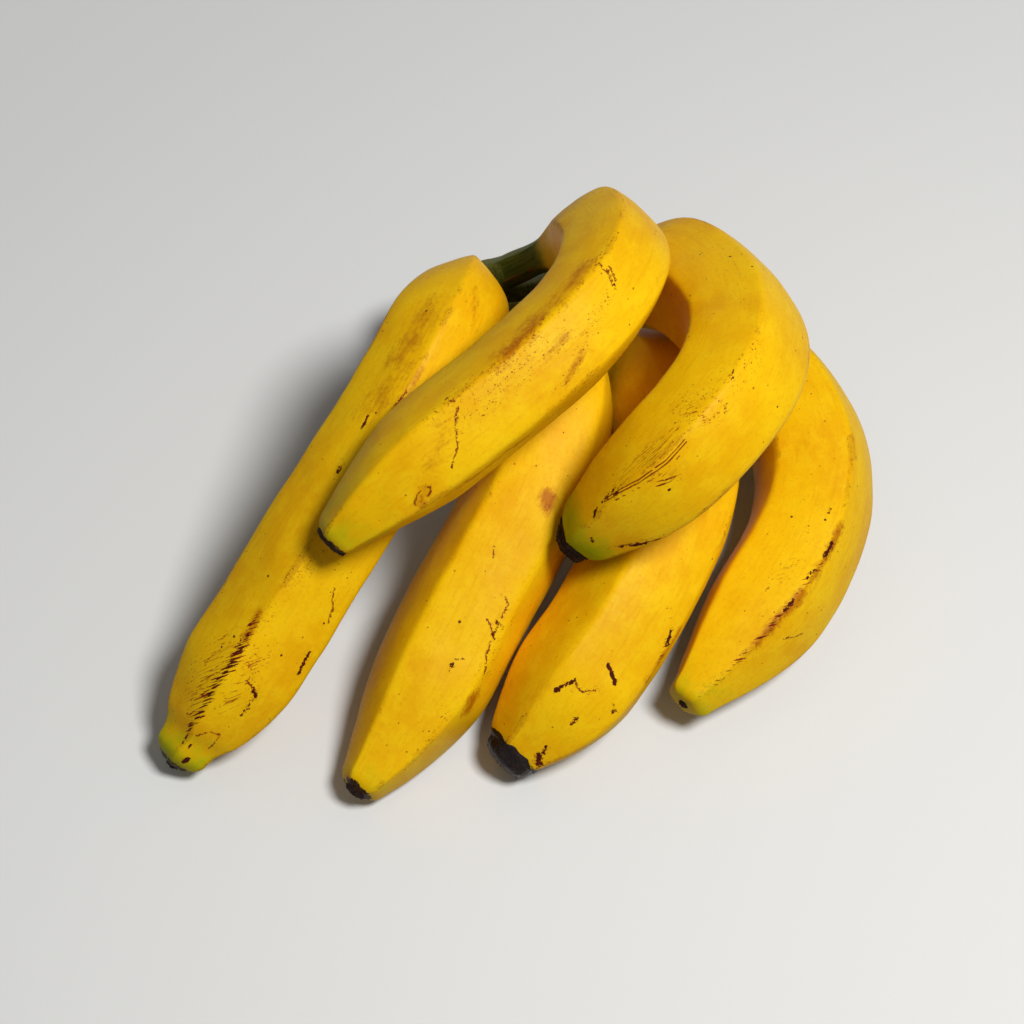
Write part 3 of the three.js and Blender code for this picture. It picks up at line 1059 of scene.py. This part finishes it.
# %% [markdown]
# ## Dry bristles
# Withered flower ends and the cut face of the crown are rough with short dry fibres. Placing
# hundreds by hand would be slow, so a second tree scatters small tapered stubs over the places that
# are marked dry, leans each a little its own way, and joins them to the skin they grow on.


# %% The bristle tree
BRISTLE_SIDES = 6


def bristle_tree():
    tree = new_tree(
        "Dry bristles",
        [
            ("Density", "Float"),
            ("Length", "Float"),
            ("Thickness", "Float"),
            ("Lean", "Float"),
            ("Seed", "Int"),
            ("Material", "Material"),
        ],
    )
    plan = Plan(tree)
    given = plan.add("NodeGroupInput")
    skin, seed = given["Geometry"], given["Seed"]
    dry = plan.add("GeometryNodeInputNamedAttribute", {"data_type": "FLOAT"}, {"Name": "dry"})
    values = {"Mesh": skin, "Density": dry * given["Density"], "Seed": seed}
    points = plan.add("GeometryNodeDistributePointsOnFaces", {}, values)
    values = {"Min": (-1.0, -1.0, -1.0), "Max": (1.0, 1.0, 1.0), "Seed": seed}
    sideways = plan.add("FunctionNodeRandomValue", {"data_type": "FLOAT_VECTOR"}, values)
    away = points["Normal"].moved(sideways.scaled(given["Lean"]))
    turned = plan.add("FunctionNodeAlignRotationToVector", {"axis": "Z"}, {"Vector": away})
    values = {"Min": 0.4, "Max": 1.0, "Seed": seed + 1}
    size = plan.add("FunctionNodeRandomValue", {"data_type": "FLOAT"}, values)
    stub = plan.add(
        "GeometryNodeMeshCone",
        {"fill_type": "NGON"},
        {
            "Vertices": BRISTLE_SIDES,
            "Side Segments": 2,
            "Radius Top": given["Thickness"] * 0.35,
            "Radius Bottom": given["Thickness"],
            "Depth": given["Length"],
        },
    )
    sunk = plan.add("ShaderNodeCombineXYZ", {}, {"Z": given["Length"] * -0.3})
    stub = plan.add("GeometryNodeTransform", {}, {"Geometry": stub, "Translation": sunk})
    values = {"Points": points, "Instance": stub, "Rotation": turned, "Scale": size}
    stubs = plan.add("GeometryNodeInstanceOnPoints", {}, values)
    both = plan.tree.nodes.new("GeometryNodeJoinGeometry")
    for part in (stubs, skin):
        plan.tree.links.new(part.socket, both.inputs[0])
    finish_tree(plan, Wire(plan, both.outputs[0]), given["Material"])
    return tree


BRISTLES = bristle_tree()
print("bristle tree:", len(BRISTLES.nodes), "nodes")

# %% [markdown]
# ## The withered ends
# What is left of the flower sits at the tip of each banana: a black, crumpled stump on most, and a
# wet shining one where the tip has been bruised. Its finish is nearly black, with crumbs of brown
# and a rough relief, and almost no gloss, because a dry end drinks the light.


# %% Withered material
def withered_material(name, dark, light, roughness, coat):
    material, plan = new_material(name)
    place = plan.add("ShaderNodeTexCoord")["Object"].scaled(1000.0)
    crumbs = noise(plan, place, 1.1, 4.0, 0.65)
    pits = noise(plan, place, 3.0, 3.0, 0.6)
    colour = crumbs.rising(0.42, 0.62).mixes(dark, light)
    colour = (pits.rising(0.6, 0.7) * 0.3).mixes(colour, rgb(110, 74, 50))
    rough = (crumbs - 0.5) * 0.5 + roughness
    bump = {"Strength": 0.8, "Distance": 0.0006, "Height": crumbs * 0.7 + pits * 0.4}
    normal = plan.add("ShaderNodeBump", {}, bump)
    fixed = {"Specular IOR Level": 0.12, "Coat Weight": coat, "Coat Roughness": 0.2}
    finish_material(plan, fixed, {"Base Color": colour, "Roughness": rough, "Normal": normal})
    return material


DRY_END = withered_material("dry flower end", rgb(20, 12, 10), rgb(58, 34, 24), 0.8, 0.0)
WET_END = withered_material("wet flower end", rgb(12, 5, 6), rgb(34, 12, 12), 0.32, 0.06)


# %% [markdown]
# ## Growing the withered ends
# An end could be sculpted, but the sweeping tree already makes closed lumpy tubes. So each end is a
# very short sweep with strong lumps, and begins inside the peel. On two bananas the dry tissue has
# swollen back over the tip, so there it follows the peel and stands out a little from it.

# %% Withered ends
BURIED = 2.5 * MM
END_SPACING = 0.25 * MM
LIP = 1.2 * MM
END_SIDES = 96
END_BOW = 1.6
WET_BRISTLES = 1e5
DRY_BRISTLES = 1.1e6


def end_girth(end, stations, base, tip_girth):
    """The thickness of an end, closing towards its far side."""
    beyond = np.clip((stations["along"] - base) / (end["length"] * MM), 0, 1)
    closing = np.sqrt(1 - 0.8 * beyond**2.5)
    if "overlap" not in end:
        return end["stump"] * tip_girth * closing
    start = base - end["overlap"] * MM
    emerging = np.clip((stations["along"] - start) / LIP, -1, 1)
    peel_girth = stations["girth"] * peel_narrowing(end, stations["along"], base)
    return (peel_girth + end["proud"] * MM * emerging) * closing


def grow_end(name, seed):
    spine, end = spines[name], ENDS[name]
    base = spine.peel_end() + end["reach"] * MM
    tip_girth = float(np.interp(spine.peel_end(), spine.along, spine.girth))
    start = base - end.get("overlap", 0) * MM
    stations = spine.stations(start - BURIED, base + end["length"] * MM, END_SPACING)
    stations["girth"] = end_girth(end, stations, base, tip_girth)
    values = {
        "Sides": END_SIDES,
        "Cap Rings": 10,
        "Cap Depth": 0.0,
        "Ridge Turn": spine.ridge_turn,
        "Ridge Reach": 1.0,
        "Bow Wide": END_BOW,
        "Bow Narrow": END_BOW,
        "Full Girth": tip_girth,
        "Dent Depth": end["rough"] * 1.6 * MM,
        "Dent Size": 5 * MM,
        "Lump Depth": end["rough"] * 0.5 * MM,
        "Lump Size": 1.4 * MM,
        "Seed": float(seed),
        "Material": DRY_END,
    }
    stump = run_tree(f"stump_{name}", spine_points(stations), SWEEP, values)
    outside = read_rows(stump.data, "along") > start
    write_rows(stump.data, "dry", outside * 1.0)
    values = {
        "Density": WET_BRISTLES if end["wet"] else DRY_BRISTLES,
        "Length": 0.7 * MM,
        "Thickness": 0.22 * MM,
        "Lean": 0.9,
        "Seed": seed,
        "Material": WET_END if end["wet"] else DRY_END,
    }
    bristly = run_tree(f"withered_{name}", stump.data, BRISTLES, values)
    bpy.data.objects.remove(stump)
    return keep_in_box(bristly)


ends = {}
for seed, name in enumerate(FINGERS, start=11):
    ends[name] = grow_end(name, seed)
    print(name, len(ends[name].data.polygons), "faces at its end")

# %% [markdown]
# ## The crown
# The crown is the knot of green tissue where the stalks meet. A knife has parted it from the bunch,
# and the cut has dried brown. The measured solid has the right mass but hard seams round each stalk.
# Sleeves that taper along the stalks are added, everything is melted together by a voxel remesh,
# and a few rounds of smoothing let the tissue flow into the stalks as it does on the plant.

# %% Sleeves round the stalks
SLEEVE_LENGTH = 25 * MM
SLEEVE_FOOT = 10.0 * MM
SLEEVE_LIP = 5.4 * MM
SLEEVE_START = 0.5 * MM
SLEEVE_SPACING = 1.2 * MM


def sleeve(name):
    """A tapering plug round the foot of one stalk, sinking under its skin at the end."""
    spine = spines[name]
    stations = spine.stations(SLEEVE_START, SLEEVE_LENGTH, SLEEVE_SPACING)
    share = 1 - stations["along"] / SLEEVE_LENGTH
    stations["girth"] = SLEEVE_LIP + (SLEEVE_FOOT - SLEEVE_LIP) * share**1.5
    values = {
        "Sides": 48,
        "Cap Rings": 3,
        "Cap Depth": 0.0,
        "Ridge Turn": spine.ridge_turn,
        "Ridge Reach": RIDGE_REACH,
        "Bow Wide": BOW_NARROW,
        "Bow Narrow": BOW_NARROW,
        "Full Girth": SLEEVE_FOOT,
        "Dent Depth": 0.0,
        "Dent Size": 9 * MM,
        "Lump Depth": 0.0,
        "Lump Size": 5 * MM,
        "Seed": 0.0,
        "Material": PEEL,
    }
    return run_tree(f"sleeve_{name}", spine_points(stations), SWEEP, values)


# %% [markdown]
# ## Melting the crown together
# A voxel remesh takes overlapping closed shapes and gives back the one skin round them all. The
# voxels are fine enough for the edges of the cut, and smoothing rounds off the steps they leave.

# %% Melting
CROWN_VOXEL = 0.75 * MM
SMOOTHING_ROUNDS = 7


def melt_crown():
    """The crown's solid and the sleeves as one smooth skin."""
    parts = bmesh.new()
    parts.from_mesh(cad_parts["crown"].data)
    for name in FINGERS:
        plug = sleeve(name)
        parts.from_mesh(plug.data)
        bpy.data.objects.remove(plug)
    bmesh.ops.remove_doubles(parts, verts=parts.verts, dist=1e-5)
    mesh = bpy.data.meshes.new("crown_parts")
    parts.to_mesh(mesh)
    parts.free()
    rough = link("crown_parts", mesh)
    remesh = rough.modifiers.new("melt", "REMESH")
    remesh.mode = "VOXEL"
    remesh.voxel_size = CROWN_VOXEL
    smooth = rough.modifiers.new("smooth", "SMOOTH")
    smooth.factor, smooth.iterations = 0.5, SMOOTHING_ROUNDS
    graph = bpy.context.evaluated_depsgraph_get()
    melted = bpy.data.meshes.new_from_object(rough.evaluated_get(graph))
    bpy.data.objects.remove(rough)
    return melted


# %% [markdown]
# ## Where the crown is cut, and where it is knotted
# Two numbers go onto the crown's skin. One marks the dry face that the knife left, which is the
# largest flat face of the measured solid. The other marks the knot in the middle, and falls away
# where the tissue climbs the stalks.

# %% Marking the crown
CUT_DEPTH = 1.8
CLIMB = 30
KNOT_ENDS, KNOT_FADES_BY = 5, 9


def cut_plane():
    """The crown's largest flat face, as a direction and a distance from the origin."""
    areas = {}
    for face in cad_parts["crown"].data.polygons:
        key = tuple(round(part, 2) for part in face.normal)
        areas.setdefault(key, []).append(face)
    flat = max(areas.values(), key=lambda faces: sum(face.area for face in faces))
    return flat[0].normal.copy(), flat[0].center.dot(flat[0].normal)


def away_from_stalks(spots):
    """1 on the knot of the crown, falling to 0 where its tissue climbs the stalks."""
    feet = [spines[name].stations(0, CLIMB * MM, MM)["centre"] for name in FINGERS]
    climb = np.tile(np.linspace(0, CLIMB, len(feet[0])), len(FINGERS))
    feet = np.concatenate(feet)
    nearest = np.array([climb[np.argmin(((feet - spot) ** 2).sum(1))] for spot in spots])
    return 1 - np.clip((nearest - KNOT_ENDS) / KNOT_FADES_BY, 0, 1)


def grow_crown():
    mesh = melt_crown()
    facing, distance = cut_plane()
    count = len(mesh.vertices)
    spots, normals = np.empty(count * 3), np.empty(count * 3)
    mesh.vertices.foreach_get("co", spots)
    mesh.vertices.foreach_get("normal", normals)
    spots, normals = spots.reshape(-1, 3), normals.reshape(-1, 3)
    behind = (distance - spots @ np.array(facing)) / MM
    facing_out = np.clip(normals @ np.array(facing) * 3 - 1.2, 0, 1)
    cut = np.clip(CUT_DEPTH - behind, 0, 1) * facing_out
    write_rows(mesh, "dry", cut)
    write_rows(mesh, "knot", away_from_stalks(spots))
    skin = link("crown_skin", mesh)
    values = {
        "Density": 4.5e5,
        "Length": 0.8 * MM,
        "Thickness": 0.42 * MM,
        "Lean": 0.25,
        "Seed": 5,
        "Material": CROWN,
    }
    grown = run_tree("crown_of_the_hand", mesh, BRISTLES, values)
    bpy.data.objects.remove(skin)
    return keep_in_box(grown)


# %% [markdown]
# ## The crown's finish
# The crown shares the dark green of the stalks. Its knot turns olive and corky brown in patches, the
# cut face is dry and pale brown, and a dark rim runs round it. Short bristles of fibre stand on it.


# %% Crown material and the finished crown
def crown_material():
    material, plan = new_material("crown skin")
    place = plan.add("ShaderNodeTexCoord")["Object"].scaled(1000.0)
    patches = noise(plan, place, 0.16, 4.0, 0.6)
    mottle = noise(plan, place, 0.8, 4.0, 0.6)
    grain = noise(plan, place, 3.0, 3.0, 0.6)
    cut, knot = reading(plan, "dry"), reading(plan, "knot")
    colour = green_skin(mottle)
    colour = (ragged(knot, ((patches, 3.0),), 0.7, 1.0) * 0.6).mixes(colour, rgb(128, 122, 34))
    brown = ragged(knot, ((patches, -3.0), (mottle, 2.0)), 0.9, 1.2)
    colour = (brown * 0.75).mixes(colour, rgb(78, 50, 24))
    colour = (dots(plan, place, 0.5, 0.02, 0.16) * 0.8).mixes(colour, rgb(52, 30, 16))
    rim = cut.rising(0.02, 0.3)
    colour = rim.mixes(colour, rgb(44, 27, 16))
    face = mottle.rising(0.35, 0.65).mixes(rgb(104, 70, 40), rgb(154, 116, 70))
    face = (grain.rising(0.55, 0.75) * 0.6).mixes(face, rgb(66, 42, 26))
    colour = cut.rising(0.5, 0.98).mixes(colour, face)
    rough = (mottle - 0.5) * 0.2 + cut * 0.2 + 0.58
    height = mottle * 0.5 + grain * 0.3 * cut + patches * 0.6
    normal = plan.add("ShaderNodeBump", {}, {"Strength": 0.7, "Distance": 0.0008, "Height": height})
    fixed = {"Specular IOR Level": 0.25}
    finish_material(plan, fixed, {"Base Color": colour, "Roughness": rough, "Normal": normal})
    return material


CROWN = crown_material()
crown = grow_crown()
print("crown:", len(crown.data.polygons), "faces")

# %% [markdown]
# ## Floor and sky
# A pale floor carries the shadows and a weak even sky fills them in. For the light they are dimmer
# than they look: only rays that show the background see them pale, so they don't wash the fruit
# out. Far from the fruit the floor fades to the even tone of the sky, and no horizon shows.

# %% Floor and sky
FLOOR_SIZE = 6.0
FLOOR_BOUNCE = 0.28
FLOOR_FADE = (0.22, 0.8)
BACKGROUND = 0.72
SKY = 0.15


def seen_directly(plan):
    """1 for the rays that show the background: to the camera, off a gloss or through glass."""
    path = plan.add("ShaderNodeLightPath")
    seen = path.maths("MAXIMUM", path["Is Camera Ray"], path["Is Glossy Ray"])
    return seen.maths("MAXIMUM", seen, path["Is Transmission Ray"])


def grey(level):
    return (level, level, level, 1.0)


def make_floor():
    mesh = bpy.data.meshes.new("floor")
    half = FLOOR_SIZE / 2
    corners = [(-half, -half, 0), (half, -half, 0), (half, half, 0), (-half, half, 0)]
    mesh.from_pydata(corners, [], [(0, 1, 2, 3)])
    material, plan = new_material("pale floor")
    seen = seen_directly(plan)
    place = plan.add("ShaderNodeTexCoord")["Object"]
    middle = plan.add("ShaderNodeVectorMath", {"operation": "LENGTH"}, {0: place})["Value"]
    far = middle.rising(*FLOOR_FADE) * seen
    dim, pale, dark = grey(FLOOR_BOUNCE), rgb(232, 232, 230), grey(0.0)
    colour = far.mixes(seen.mixes(dim, pale), dark)
    glow = far.mixes(dark, grey(BACKGROUND))
    fixed = {"Roughness": 0.9, "Specular IOR Level": 0.1, "Emission Strength": 1.0}
    finish_material(plan, fixed, {"Base Color": colour, "Emission Color": glow})
    mesh.materials.append(material)
    link("floor", mesh)


def make_sky():
    """A weak even sky, seen as a pale wall by the camera and in reflections."""
    world = bpy.data.worlds.new("sky")
    bpy.context.scene.world = world
    world.use_nodes = True
    plan = Plan(world.node_tree)
    strength = seen_directly(plan) * (BACKGROUND - SKY) + SKY
    sky = plan.add("ShaderNodeBackground", {}, {"Color": (1, 1, 1, 1), "Strength": strength})
    plan.add("ShaderNodeOutputWorld", {}, {"Surface": sky})


make_floor()
make_sky()
print("floor", FLOOR_SIZE, "m wide")

# %% [markdown]
# ## Lamp and camera
# One large soft lamp hangs high on the right, so shadows fall to the left with soft edges. The
# camera looks down on the fruit from the front through a long lens.

# %% Lamp and camera
AIM = Vector((-0.0038, 0.0166, 0.0010))
CAMERA_DISTANCE = 0.8
CAMERA_TILT = math.radians(55)
LENS = 85.96
LAMP_DIRECTION = Vector((0.36, -0.27, 0.89)).normalized()
LAMP_DISTANCE = 1.2
LAMP_SIZE = 0.32
LAMP_POWER = 11.8


def look_from(thing, place, target):
    thing.location = place
    thing.rotation_euler = (target - place).to_track_quat("-Z", "Y").to_euler()


def make_lamp():
    data = bpy.data.lights.new("soft lamp", "AREA")
    data.shape = "DISK"
    data.size = LAMP_SIZE
    data.energy = LAMP_POWER
    lamp = bpy.data.objects.new("soft lamp", data)
    bpy.context.scene.collection.objects.link(lamp)
    look_from(lamp, AIM + LAMP_DIRECTION * LAMP_DISTANCE, AIM)


def make_camera():
    data = bpy.data.cameras.new("camera")
    data.lens = LENS
    data.clip_start = 0.01
    camera = bpy.data.objects.new("camera", data)
    bpy.context.scene.collection.objects.link(camera)
    away = Vector((0, -math.cos(CAMERA_TILT), math.sin(CAMERA_TILT)))
    look_from(camera, AIM + away * CAMERA_DISTANCE, AIM)
    bpy.context.scene.camera = camera


make_lamp()
make_camera()
bpy.context.scene.view_settings.view_transform = "Standard"
print("camera at", [round(place, 3) for place in bpy.context.scene.camera.location])

# %% [markdown]
# ## Putting the pieces on the body
# Each skin rides on the one body that the hand of bananas is, and its measured solid is hidden.

# %% Pieces on the body
for name, piece in peels.items():
    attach(piece, "root")
    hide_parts(name)

for name, piece in ends.items():
    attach(piece, "root")
    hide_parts(f"{name}_blossom_end")

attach(crown, "root")
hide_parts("crown")
